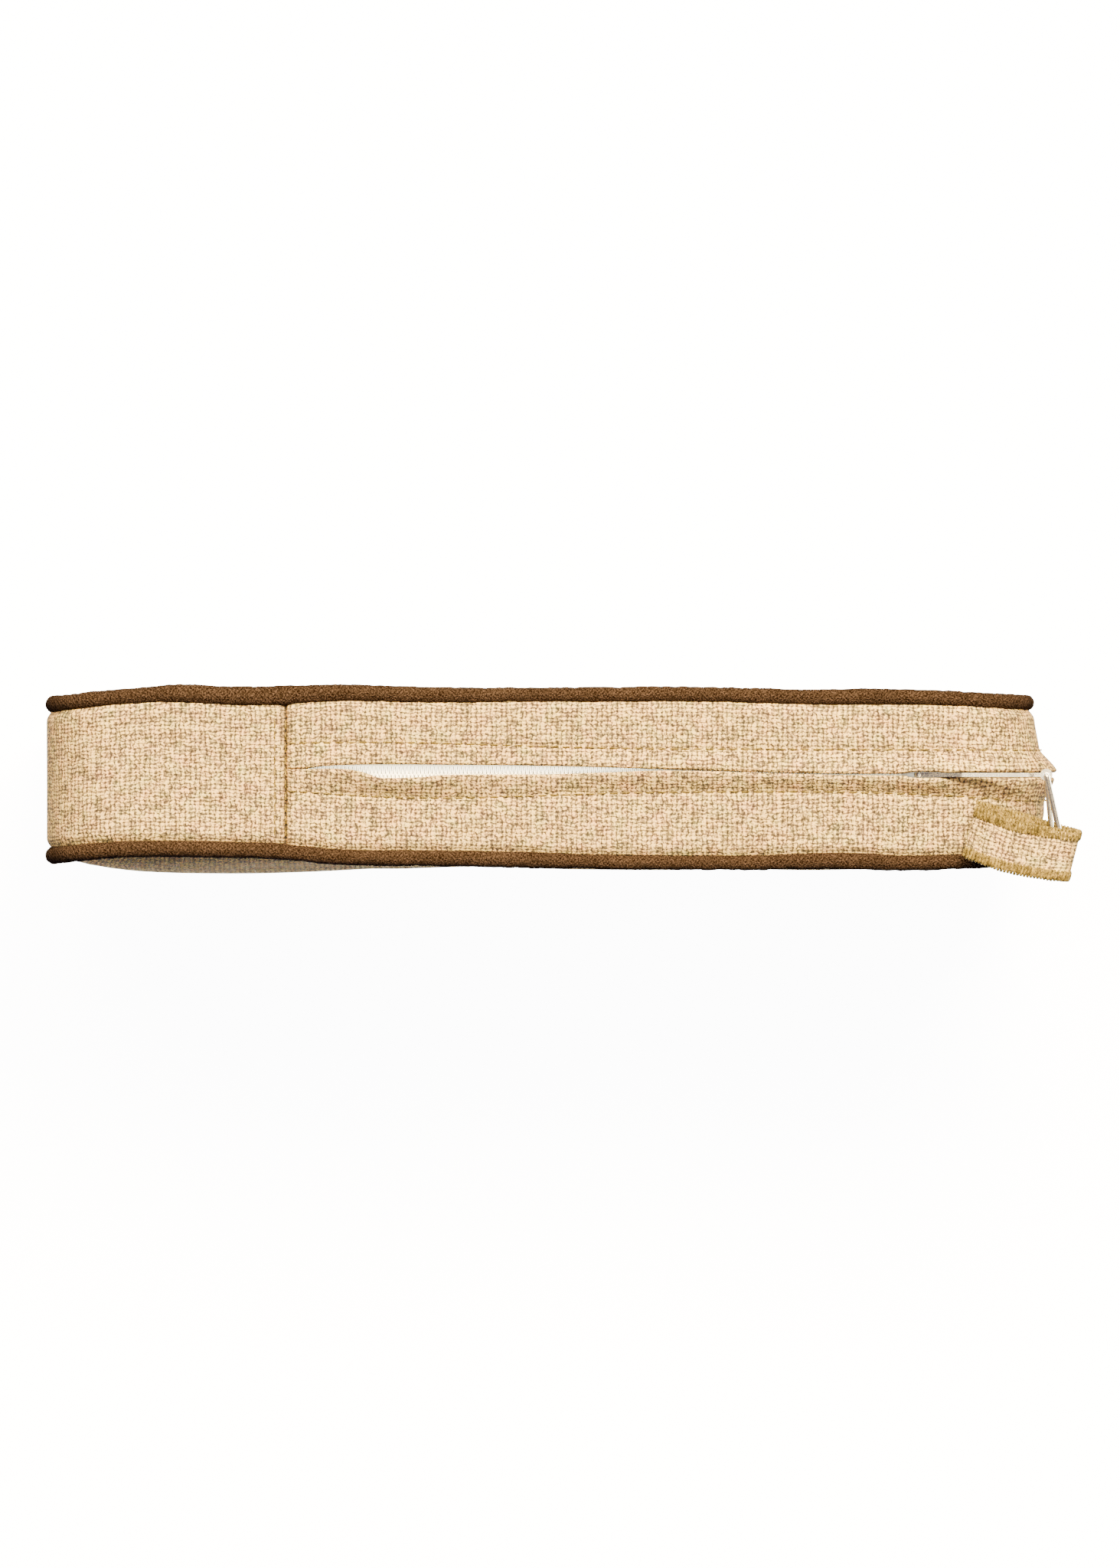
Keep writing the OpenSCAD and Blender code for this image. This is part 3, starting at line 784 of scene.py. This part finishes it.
class POUCH_OT_piping(bpy.types.Operator):
    """Two runs of piping, each a bead of brown cloth over a cord."""

    bl_idname = "pouch.piping"
    bl_label = "Piping"

    def execute(self, context):
        sizes = context.scene.pouch_sizes
        outline = Outline(sizes)
        count, sides = 1150, 20
        proud = 0.2 * MM + sizes.piping
        core_share = 0.62
        for side, name in ((1, "back"), (-1, "front")):
            path = []
            for k in range(count):
                spot = outline.at(outline.total * (k / count + 0.5))
                path.append(raised(spot, seam_y(sizes, side, spot[0]) + side * proud, -sizes.piping))

            shares = BACK_PIPING if side > 0 else FRONT_PIPING

            def thickness(k, point):
                fuller = through(shares, point.x / MM) - 1
                return sizes.piping * (1 + fuller * ease(point.z / sizes.height))

            cover = tube("piping_cloth_" + name, path, thickness, sides, closed=True)
            outward = [vertex.normal.copy() for vertex in cover.data.vertices]
            for vertex, way in zip(cover.data.vertices, outward):
                rests = ease(vertex.co.z / (6 * MM))
                rough = 0.09 * ripple(*vertex.co, 160.0) + 0.10 * ripple(*vertex.co, 700.0)
                vertex.co += way * sizes.piping * rough * rests
            dress(cover, finishes(context)["piping"], "bag", "piping", "piping_cover_" + name)
            core_radius = sizes.piping * core_share
            core = tube("piping_core_" + name, path[::3], core_radius, sides // 2, closed=True)
            dress(core, finishes(context)["cord"], "bag", "piping_cord", "piping_cord_" + name)
        return {"FINISHED"}


def panel_face(sizes, side, x, z, share, edge, wander):
    """How far a panel's outer face stands from the middle plane; the front swells most towards its left."""
    proud, puff, uneven = 1.4 * MM, 0.9 * MM, 0.3 * MM
    crown = -0.6 * MM
    if side < 0:
        leftward = ease((-x / MM - 12) / 75)
        crown = sizes.crown * (0.7 + 0.65 * leftward)
    swell = crown * (1 - share ** 12) * (1.1 - 0.25 * z / sizes.height)
    swell += puff * ease(edge / (5 * MM))
    swell += uneven * ripple(x, 0.3 * side, z, 22.0) * ease(edge / (18 * MM))
    return sizes.gusset / 2 + proud + wander * share + swell


def slab(name, sizes, side, inset, faces):
    """A closed layer between two faces, each a function of (panel's face, wander), and its outer area."""
    outline = Outline(sizes)
    around, rings = 240, 30
    rim = RIM_SHARE * sizes.piping
    middle = Vector((0.0, 0.0, sizes.height / 2))
    points, polygons = [], []
    for face in faces:
        for ring in range(1, rings + 1):
            for k in range(around):
                edge = outline.at(outline.total * k / around)
                wander = side * seam_y(sizes, side, edge[0]) - sizes.gusset / 2
                full = (raised(edge, 0, -rim) - middle).length
                spot = middle.lerp(raised(edge, 0, -inset), ring / rings)
                share = min((spot - middle).length / full, 1.0)
                out = panel_face(sizes, side, spot.x, spot.z, share, (1 - share) * full, wander)
                points.append((spot.x, side * face(out, wander * share), spot.z))
    for sheet in range(2):
        base, pole = sheet * rings * around, len(points)
        points.append((0, sum(p[1] for p in points[base:base + around]) / around, middle.z))
        for k in range(around):
            j = (k + 1) % around
            made = [(pole, base + k, base + j)]
            for ring in range(rings - 1):
                a, b = base + ring * around, base + (ring + 1) * around
                made.append((a + k, b + k, b + j, a + j))
            polygons += made if sheet == 0 else [face[::-1] for face in made]
    outer_count = len(polygons) // 2
    a, b = (rings - 1) * around, (2 * rings - 1) * around
    polygons += [(a + k, b + k, b + (k + 1) % around, a + (k + 1) % around) for k in range(around)]
    piece = mesh_piece(name, points, polygons if side > 0 else [face[::-1] for face in polygons])
    mesh = piece.data
    layer = mesh.uv_layers.new(name="cloth")
    # Towards its rim the cloth turns away from the map's plane, so the map is let out by the turn's depth
    for loop, corner in zip(mesh.loops, layer.data):
        co = mesh.vertices[loop.vertex_index].co
        rise = co.z - middle.z
        turned = sizes.gusset / 2 + 5 * MM - abs(co.y)
        ends = ease((abs(co.x) - 100 * MM) / (30 * MM)) * math.copysign(turned, co.x)
        rims = ease((abs(rise) - 35 * MM) / (25 * MM)) * math.copysign(turned, rise)
        corner.uv = (co.x + ends, co.z + rims)
    bpy.ops.object.shade_smooth_by_angle(angle=math.radians(50))
    return piece, sum(mesh.polygons[k].area for k in range(outer_count))


class POUCH_OT_panels(bpy.types.Operator):
    """Front panel swelling over its padding, the flatter back panel, and the lining behind each."""

    bl_idname = "pouch.panels"
    bl_label = "Panels"

    def execute(self, context):
        sizes = context.scene.pouch_sizes
        half = sizes.gusset / 2
        pad_inset, lining_inset = 9.8 * MM, 7.5 * MM

        def under(depth):
            """A face at a depth under the panel's outer face."""
            return lambda out, wander: out - depth

        def inside(depth):
            """A face at a depth inside the piped seam."""
            return lambda out, wander: half - depth + wander

        for side, name in ((-1, "front"), (1, "back")):
            faces = (under(0.0), under(sizes.cloth))
            panel, area = slab("panel_cloth_" + name, sizes, side, RIM_SHARE * sizes.piping, faces)
            dress(panel, finishes(context)["canvas"], "bag", "canvas", name + "_panel")
            faces = (under(sizes.cloth + 0.1 * MM), inside(0.6 * MM))
            pad, _ = slab("pad_" + name, sizes, side, pad_inset, faces)
            dress(pad, finishes(context)["padding"], "bag", "padding", name + "_padding")
            faces = (inside(0.7 * MM), inside(1.2 * MM))
            lining, area = slab("lining_cloth_" + name, sizes, side, lining_inset, faces)
            dress(lining, finishes(context)["lining"], "bag", "lining", "lining_" + name)
        return {"FINISHED"}


def swept(name, sizes, side, section, first, last, count):
    """A strip of one section along the outline; the section is (across from the seam, depth) in mm."""
    outline = Outline(sizes)
    closed = last - first > outline.total * 0.999
    rings = count if closed else count + 1
    n = len(section)
    points, faces = [], []
    for k in range(rings):
        spot = outline.at(first + (last - first) * k / count)
        seam = seam_y(sizes, side, spot[0])
        points += [raised(spot, seam + side * across * MM, -depth * MM) for across, depth in section]
    for k in range(count):
        a, b = k * n, ((k + 1) % rings) * n
        faces += [(a + i, a + (i + 1) % n, b + (i + 1) % n, b + i) for i in range(n)]
    if not closed:
        faces += [tuple(range(n)), tuple((rings - 1) * n + i for i in range(n))]
    piece = mesh_piece(name, points, faces)
    bpy.ops.object.mode_set(mode="EDIT")
    bpy.ops.mesh.select_all(action="SELECT")
    bpy.ops.mesh.normals_make_consistent(inside=False)
    bpy.ops.object.mode_set(mode="OBJECT")
    return piece


class POUCH_OT_seams(bpy.types.Operator):
    """Binding tape round the seam allowances and the lining strips beside the zip."""

    bl_idname = "pouch.seams"
    bl_label = "Inner seams"

    def execute(self, context):
        sizes = context.scene.pouch_sizes
        outline = Outline(sizes)
        first, last = sizes.zip_start, outline.zip_stop(sizes)
        fold = [(-0.7, 7.5), (-0.7, 9.7), (0.6, 9.7), (0.6, 9.0), (0.0, 9.0), (0.0, 7.5)]
        flat = [(-9.6, 5.2), (-1.3, 5.2), (-1.3, 5.7), (-9.6, 5.7)]
        for side, name in ((1, "back"), (-1, "front")):
            tape = swept("binding_" + name, sizes, side, fold, 0.0, outline.total, 240)
            dress(tape, finishes(context)["binding"], "bag", "binding", "seam_binding_" + name)
            strip = swept("lining_zip_cloth_" + name, sizes, side, flat, first, last, 90)
            dress(strip, finishes(context)["lining"], "bag", "lining", "lining_zip_" + name)
        return {"FINISHED"}


class POUCH_OT_zip(bpy.types.Operator):
    """Zip chain: two ribbed tapes and two interleaved coils of nylon."""

    bl_idname = "pouch.zip"
    bl_label = "Zip chain"

    def execute(self, context):
        sizes = context.scene.pouch_sizes
        outline = Outline(sizes)
        first, last = sizes.zip_start, outline.zip_stop(sizes)
        depth = sizes.height - TAPE_HIGH.z
        width = TAPE_HIGH.y - TAPE_LOW.y
        thick = 0.5 * MM
        pitch, wire = 1.1 * MM, 0.27 * MM
        per_turn = 10
        squareness = 0.6
        for side, name in ((1, "back"), (-1, "front")):
            inner, outer = side * TAPE_LOW.y, side * TAPE_HIGH.y
            start = 0.25 if side > 0 else 0.75

            def place(share, across):
                t = across if side > 0 else 1 - across
                spot = outline.at(first + share * (last - first))
                return raised(spot, inner + (outer - inner) * t, -depth)

            tape = cloth_grid("tape_cloth_" + name, (220, 18), place, (last - first, width))
            apply_modifier(tape, "SOLIDIFY", thickness=thick, offset=-1.0)
            dress(tape, finishes(context)["tape"], "bag", "zip_tape", "zip_tape_" + name)
            lit_group("lit_zip").objects.link(tape)
            middle = (COIL_LOW.y + COIL_HIGH.y) / 2
            reach = (COIL_HIGH.y - COIL_LOW.y) / 2 - wire
            level = (COIL_LOW.z + COIL_HIGH.z) / 2
            rise = (COIL_HIGH.z - COIL_LOW.z) / 2 - wire
            turns = int((COIL_HIGH.x - COIL_LOW.x) / pitch) - 1
            path = []
            for k in range(turns * per_turn):
                a = 2 * math.pi * k / per_turn
                x = COIL_LOW.x + pitch * (k / per_turn + start)
                y = side * (middle + reach * squared(math.cos(a), squareness))
                path.append(Vector((x, y, level + rise * math.sin(a))))
            coil = tube("coil_" + name, path, wire, 6)
            dress(coil, finishes(context)["coil"], "bag", "zip_coil", "zip_coil_" + name)
            lit_group("lit_zip").objects.link(coil)
        return {"FINISHED"}


def stitch_row(name, spots, sizes, material):
    """A row of stitches, each a copy of one rounded thread, laid at (place, way, up)."""
    wide, high = 0.42 * MM, 0.36 * MM
    pulled_in = 0.22 * MM
    bpy.ops.object.select_all(action="DESELECT")
    bpy.ops.mesh.primitive_uv_sphere_add(segments=8, ring_count=6, radius=0.5)
    model = bpy.context.object
    base = [v.co.copy() for v in model.data.vertices]
    shape = [tuple(face.vertices) for face in model.data.polygons]
    bpy.data.objects.remove(model, do_unlink=True)
    points, faces = [], []
    for place, way, up in spots:
        side = up.cross(way)
        start = len(points)
        for v in base:
            rise = v.z * high - pulled_in * (2 * v.x) ** 2
            points.append(place + way * v.x * sizes.stitch + side * v.y * wide + up * rise)
        faces += [tuple(start + i for i in face) for face in shape]
    piece = mesh_piece(name, points, faces)
    bpy.ops.object.shade_smooth()
    dress(piece, material, "bag", "thread")


class POUCH_OT_stitching(bpy.types.Operator):
    """Mustard topstitching along both flaps and beside the two cross seams."""

    bl_idname = "pouch.stitching"
    bl_label = "Topstitching"

    def execute(self, context):
        sizes = context.scene.pouch_sizes
        outline = Outline(sizes)
        material = finishes(context)["thread"]
        step = sizes.stitch * 1.3
        beside, in_seam = 3.1 * MM, 1.5 * MM
        off_piping = 1.5 * MM
        on_flap, on_gusset = 0.34 * MM, 0.25 * MM
        first, last = sizes.zip_start, outline.zip_stop(sizes)
        for side, name in ((1, "back"), (-1, "front")):
            rows = BACK_STITCH if side > 0 else FRONT_STITCH
            spots = []
            for k in range(int((last - first) / step)):
                s = first + (k + 0.5) * step
                spot, section = flap_section(sizes, outline, side, s)
                _, _, nx, nz = spot
                row = through(rows, s / MM) * MM
                lift = min(section[:TOP_ROWS], key=lambda point: abs(point[0] - row))[1] + on_flap
                spots.append((raised(spot, row, lift), Vector((nz, 0, -nx)), Vector((nx, 0, nz))))
            stitch_row("topstitch_" + name, spots, sizes, material)
        for name, s, sink in (("start", first - beside, 0.0), ("start_seam", first, in_seam),
                              ("end", last + beside, 0.0), ("end_seam", last, in_seam)):
            spot = outline.at(s)
            x, z, nx, nz = spot
            front, back = seam_y(sizes, -1, x), seam_y(sizes, 1, x)
            spots = []
            for k in range(int((back - front - 2 * off_piping) / step)):
                y = front + off_piping + (k + 0.5) * step
                lift = seam_ripple(x, y, z, min(y - front, back - y)) + on_gusset - sink
                spots.append((raised(spot, y, lift), Vector((0, 1, 0)), Vector((nx, 0, nz))))
            stitch_row("topstitch_" + name, spots, sizes, material)
        return {"FINISHED"}


class POUCH_OT_bail(bpy.types.Operator):
    """Wire bail: an upright bar in the pull's eye, two legs and a twisted far bar, with round corners."""

    bl_idname = "pouch.bail"
    bl_label = "Wire bail"

    def execute(self, context):
        eye = Vector(JOINTS["bail_swing"]["pos_m"])
        way = -Vector(JOINTS["tab_swing"]["axis"])
        wire = 0.8 * MM
        half = 1.8 * MM
        long = 23 * MM
        cut = 0.75 * MM
        bend_steps, bar_steps, leg_steps = 6, 2, 14
        twist = math.radians(55)
        up = Vector((0, 0, 1))
        side = up.cross(way)
        far = up * math.cos(twist) + side * math.sin(twist)
        end = eye + way * long
        corners = [eye - up * half, eye + up * half, end + far * half, end - far * half]
        path = []
        for k, corner in enumerate(corners):
            before, after = corners[k - 1], corners[(k + 1) % 4]
            a = corner + (before - corner).normalized() * cut
            b = corner + (after - corner).normalized() * cut
            for i in range(bend_steps + 1):
                t = i / bend_steps
                path.append(a * (1 - t) ** 2 + corner * 2 * t * (1 - t) + b * t ** 2)
            following = after + (corner - after).normalized() * cut
            steps = bar_steps if k % 2 == 0 else leg_steps
            for i in range(1, steps):
                path.append(b.lerp(following, i / steps))
        bail = bent_wire("bail_wire", path, wire)
        dress(bail, finishes(context)["nickel"], "bail", "nickel", "pull_bail")
        return {"FINISHED"}


def tab_path(count):
    """Middle line of the folded strip in its own frame: along, up and sideways drift, from end to end."""
    reach, fold, thick = 30.6 * MM, 3.55 * MM, 0.65 * MM
    line = []
    for k in range(count):
        t = 2 * k / (count - 1) - 1
        side = math.copysign(1, t)
        away = abs(t)
        if away < FOLD_SHARE:
            angle = away / FOLD_SHARE * math.pi / 2
            x, z = -fold * (1 - math.cos(angle)) - thick, side * fold * math.sin(angle)
        else:
            run = (away - FOLD_SHARE) / (1 - FOLD_SHARE)
            x = -fold - thick - run * (reach - fold - thick)
            z = side * (thick + (fold - thick) * (1 - ease(run * 1.25)))
        drift = -side * through(TAB_DRIFT, away) * MM - 0.7 * MM * math.sin(math.pi * away)
        line.append((x, z, drift))
    return line


def tab_frame():
    """The strip's own frame: its fold at the origin, its length along -X and its width along Y."""
    eye = Vector(JOINTS["bail_swing"]["pos_m"])
    from_eye = Vector((8.1 * MM, -22.95 * MM, 0))
    turn = math.radians(-14.5)
    return Matrix.Translation(eye + from_eye) @ Matrix.Rotation(turn, 4, "Z")


class POUCH_OT_tab(bpy.types.Operator):
    """Pull tab: a folded strip of the bag's cloth, overlocked along both edges and tacked at its end."""

    bl_idname = "pouch.tab"
    bl_label = "Pull tab"

    def execute(self, context):
        sizes = context.scene.pouch_sizes
        matrix = tab_frame()
        count = 141
        line = tab_path(count)
        half = sizes.tab_width / 2
        edging, thread_radius = 2.7 * MM, 0.46 * MM
        in_edging, thread_gap = 0.5 * MM, 0.12 * MM
        uneven = 0.18 * MM
        squareness = 0.55
        length = sum(math.dist(a[:2], b[:2]) for a, b in zip(line, line[1:]))
        thick = 1.1 * MM

        def place(share, across):
            x, z, drift = line[round(share * (count - 1))]
            y = (half - in_edging) * (1 - 2 * across)
            z += uneven * ripple(x, y, z, 140.0)
            return matrix @ Vector((x, y + drift, z))

        strip = cloth_grid("tab_cloth", (count - 1, 16), place, (length, 2 * half))
        apply_modifier(strip, "SOLIDIFY", thickness=thick, offset=0.0)
        dress(strip, finishes(context)["canvas"], "tab", "canvas", "tab_strip")
        pitch, spots = 0.95 * MM, 12
        for side, name in ((1, "back"), (-1, "front")):
            turns = int(length / pitch)
            path = []
            for k in range(turns * spots):
                place_k = k / (turns * spots - 1) * (count - 1)
                low = min(int(place_k), count - 2)
                part = place_k - low
                here = [a + (b - a) * part for a, b in zip(line[low], line[low + 1])]
                ahead = [b - a for a, b in zip(line[low], line[low + 1])]
                up = Vector((-ahead[1], 0, ahead[0])).normalized()
                a = 2 * math.pi * k / spots
                reach = edging * (1 + 0.14 * ripple(k // spots * 0.37, side, 0.5, 1.0))
                y = side * (half - edging / 2 + squared(math.cos(a), squareness) * reach / 2)
                rise = squared(math.sin(a), squareness) * (thick / 2 + thread_gap)
                path.append(matrix @ (Vector((here[0], y + here[2], here[1])) + up * rise))
            thread = tube("tab_overlock_" + name, path, thread_radius, 6)
            dress(thread, finishes(context)["thread"], "tab", "thread", "tab_edging_" + name)
        tack_at, tack_wide, tack_radius = -27.2 * MM, 8.6 * MM, 0.24 * MM
        zigzag, through_by = 0.6 * MM, 1.45 * MM
        passes = 40
        tack = []
        for k in range(passes):
            y = (k / (passes - 1) - 0.5) * tack_wide
            z = through_by if k % 2 else -through_by
            x = tack_at + (zigzag if k % 4 < 2 else -zigzag)
            tack.append(matrix @ Vector((x, y, z)))
        bar = tube("tab_bar_tack", tack, tack_radius, 6)
        dress(bar, finishes(context)["thread"], "tab", "thread", "tab_bartack")
        return {"FINISHED"}


class POUCH_OT_metal(bpy.types.Operator):
    """Finish of the zip's metal, whose shapes are the frame's own."""

    bl_idname = "pouch.metal"
    bl_label = "Zip metal"

    def execute(self, context):
        for name in METAL:
            node = frame["nodes"][name]
            lit_group("lit_metal").objects.link(node)
            for slot in node.material_slots:
                slot.material = finishes(context)["nickel"]
        return {"FINISHED"}


class POUCH_OT_stage(bpy.types.Operator):
    """Pale floor, soft studio light and a camera straight above the zip."""

    bl_idname = "pouch.stage"
    bl_label = "Stage"

    def execute(self, context):
        aim_x = (PICTURE_MIDDLE[0] - BAG_MIDDLE[0]) * PIXEL
        aim_y = (BAG_MIDDLE[1] - PICTURE_MIDDLE[1]) * PIXEL
        camera_z = context.scene.pouch_sizes.height + CAMERA_AWAY
        bpy.ops.object.select_all(action="DESELECT")
        bpy.ops.mesh.primitive_plane_add(size=FLOOR_SIZE)
        floor = context.object
        floor.name = "floor"
        pale = Finish("pale_floor", 0.9, Specular_IOR_Level=0.05)
        vector = pale.node("TexCoord").outputs["Object"]
        tone = pale.ramp(pale.noise(vector, 3.0), [(0.3, (0.93, 0.93, 0.93)), (0.7, (0.95, 0.95, 0.95))])
        floor.data.materials.append(pale.done(tone))
        floor.visible_diffuse = False
        bpy.ops.object.camera_add(location=(aim_x, aim_y, camera_z), rotation=(0, 0, 0))
        camera = context.object
        camera.data.sensor_width = SENSOR
        camera.data.lens = SENSOR * CAMERA_AWAY / (PICTURE_HIGH * PIXEL)
        camera.data.clip_end = 4 * CAMERA_AWAY
        context.scene.camera = camera
        lit_group("washed_floor").objects.link(floor)
        bag_middle = Vector((0, 0, 0.1))
        for name, kind, place, power, group in LIGHTS:
            bpy.ops.object.light_add(type=kind, location=place)
            light = context.object
            light.name = name
            light.data.energy = power
            light.data.color = (1, 1, 1) if group else LAMP_COLOUR
            if kind == "AREA":
                light.data.size = LAMP_SIZE
            way = bag_middle - light.location
            light.rotation_euler = way.to_track_quat("-Z", "Y").to_euler()
            if group:
                light.light_linking.receiver_collection = lit_group(group)
            light.data.use_shadow = name != "floor_wash"
        world = bpy.data.worlds.new("pale_room")
        world.use_nodes = True
        room = world.node_tree.nodes["Background"]
        room.inputs["Color"].default_value = ROOM_COLOUR
        room.inputs["Strength"].default_value = ROOM_STRENGTH
        context.scene.world = world
        return {"FINISHED"}


class POUCH_PT_panel(bpy.types.Panel):
    """Lists the pieces of the pouch in the order they are made."""

    bl_idname = "POUCH_PT_panel"
    bl_label = "Belt pouch"
    bl_space_type = "VIEW_3D"
    bl_region_type = "UI"
    bl_category = "Pouch"

    def draw(self, context):
        for group in (context.scene.pouch_sizes, context.scene.pouch_colours):
            for key in group.__annotations__:
                self.layout.prop(group, key)
        for operator in OPERATORS:
            self.layout.operator(operator.bl_idname)


OPERATORS = (
    POUCH_OT_stage, POUCH_OT_gusset, POUCH_OT_flaps, POUCH_OT_piping, POUCH_OT_panels, POUCH_OT_seams,
    POUCH_OT_zip, POUCH_OT_stitching, POUCH_OT_bail, POUCH_OT_tab, POUCH_OT_metal,
)
CLASSES = (PouchSizes, PouchColours, *OPERATORS, POUCH_PT_panel)


def register():
    for item in CLASSES:
        bpy.utils.register_class(item)
    bpy.types.Scene.pouch_sizes = bpy.props.PointerProperty(type=PouchSizes)
    bpy.types.Scene.pouch_colours = bpy.props.PointerProperty(type=PouchColours)


def unregister():
    del bpy.types.Scene.pouch_colours
    del bpy.types.Scene.pouch_sizes
    for item in reversed(CLASSES):
        bpy.utils.unregister_class(item)


def main():
    """Makes every piece in order."""
    register()
    for operator in OPERATORS:
        group, name = operator.bl_idname.split(".")
        getattr(getattr(bpy.ops, group), name)()


if __name__ == "__main__":
    main()
